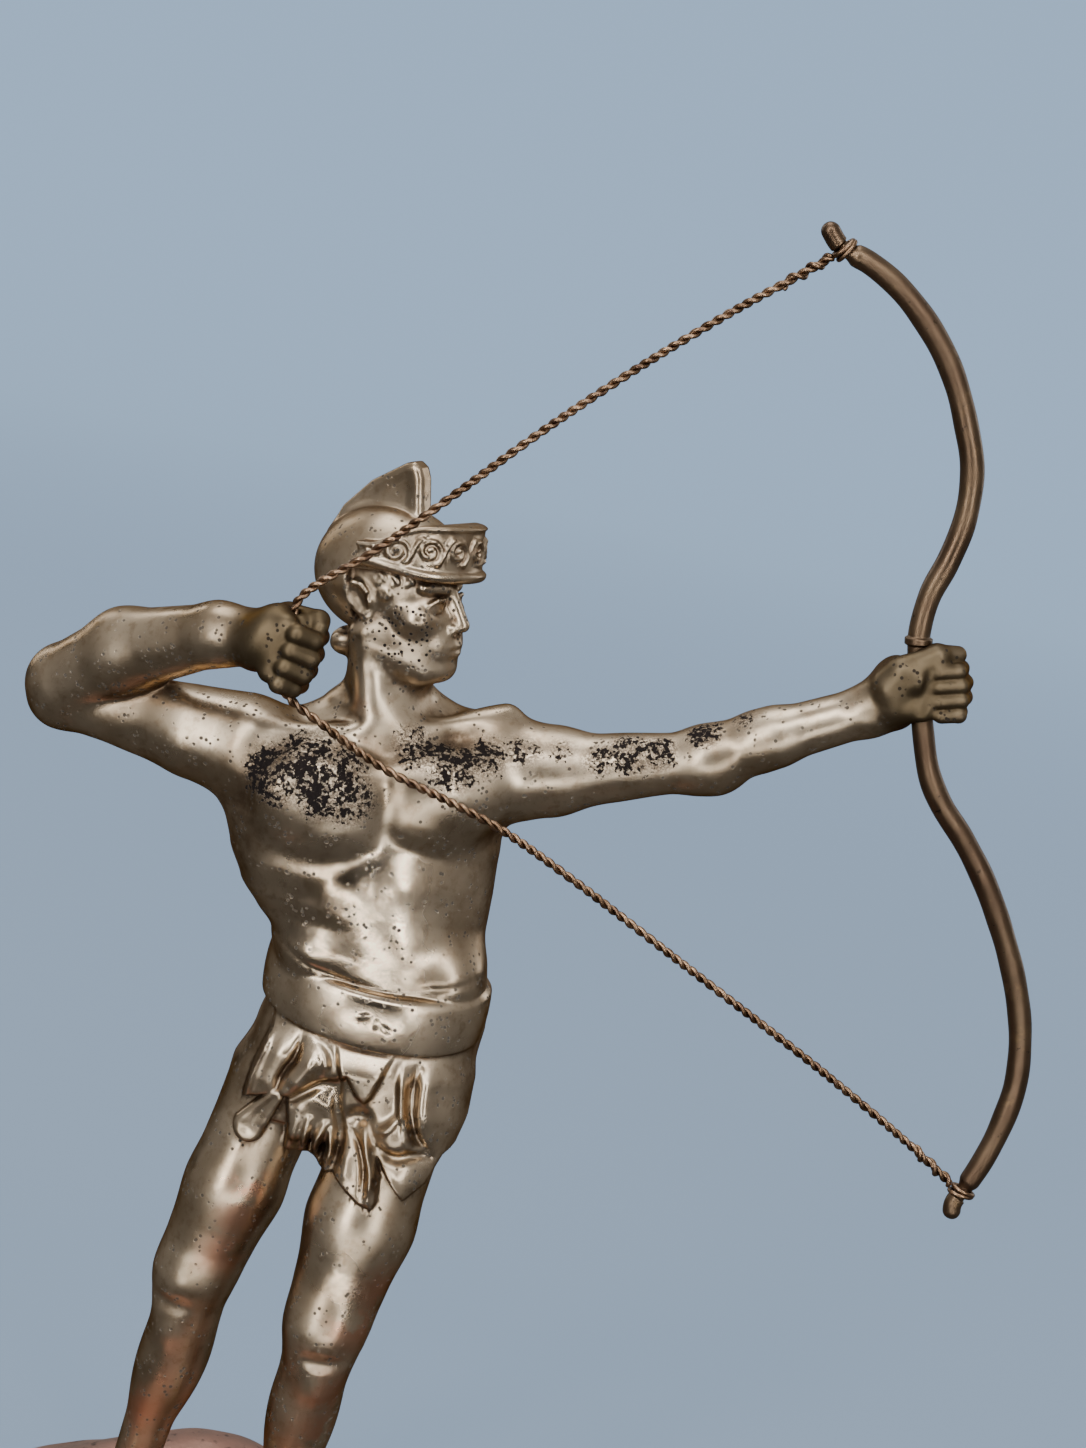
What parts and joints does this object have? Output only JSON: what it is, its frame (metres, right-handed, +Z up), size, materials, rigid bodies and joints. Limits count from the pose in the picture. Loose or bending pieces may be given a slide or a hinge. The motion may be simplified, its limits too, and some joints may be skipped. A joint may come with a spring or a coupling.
{
  "type": "archer statuette",
  "caption": "Standing metal figure of an archer in a crested helmet and loincloth, drawing a bow with a twisted wire string, on a low round mound that stands on a shelf or table.",
  "frame": {"origin": "centre of the base's underside", "axes": "+Z up, the archer's chest faces -Y and the bow is on the +X side"},
  "size_m": [0.3021, 0.164, 0.4416],
  "materials": {
    "figure": "aged nickel or silver plate over copper alloy: warm champagne grey, half gloss, brown in the recesses, copper showing on the thighs and knees, black pitting on the chest and the bow arm",
    "bow": "brown patinated rod, satin, rubbed to dull gold on the bends",
    "bowstring": "dark brown twisted wire with bright rubbed strands",
    "base": "reddish brown patina on cast metal, satin"
  },
  "bodies": {
    "root": {"figure": "figure", "bow": "bow", "bowstring": "bowstring", "base": "base"}
  },
  "joints": []
}
